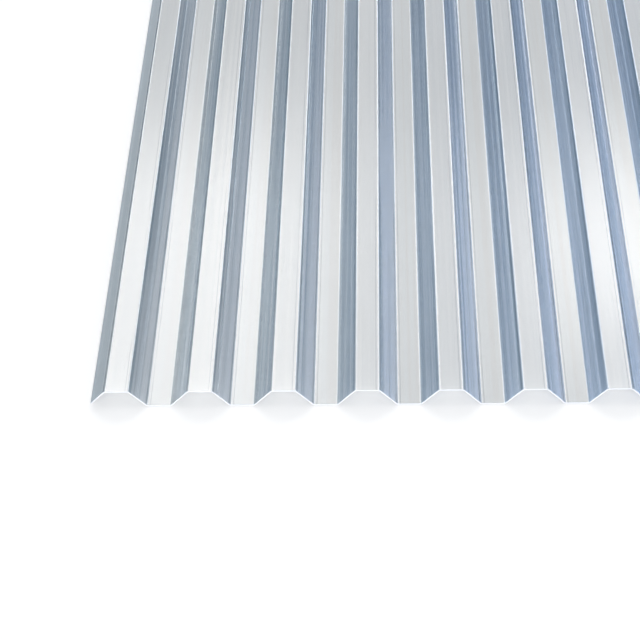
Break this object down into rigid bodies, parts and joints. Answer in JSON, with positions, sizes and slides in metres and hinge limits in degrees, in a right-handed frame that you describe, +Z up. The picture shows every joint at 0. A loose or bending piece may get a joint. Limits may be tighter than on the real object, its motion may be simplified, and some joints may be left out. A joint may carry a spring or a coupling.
{
  "type": "trapezoidal PVC sheet",
  "caption": "Clear bluish PVC roofing sheet with flat-topped trapezoidal ribs, laid over purlins to roof or clad in daylight.",
  "frame": {"origin": "under the middle of the sheet, on the level surface that its valleys rest on", "axes": "X across the ribs, +Y along the ribs, +Z up, away from the valleys' undersides"},
  "size_m": [1.265, 2, 0.018],
  "materials": {
    "clear_pvc": "clear PVC with a slight blue tint, glossy on both faces, with faint extrusion lines along the ribs"
  },
  "bodies": {
    "root": {"trapezoidal_sheet": "clear_pvc"}
  },
  "joints": []
}
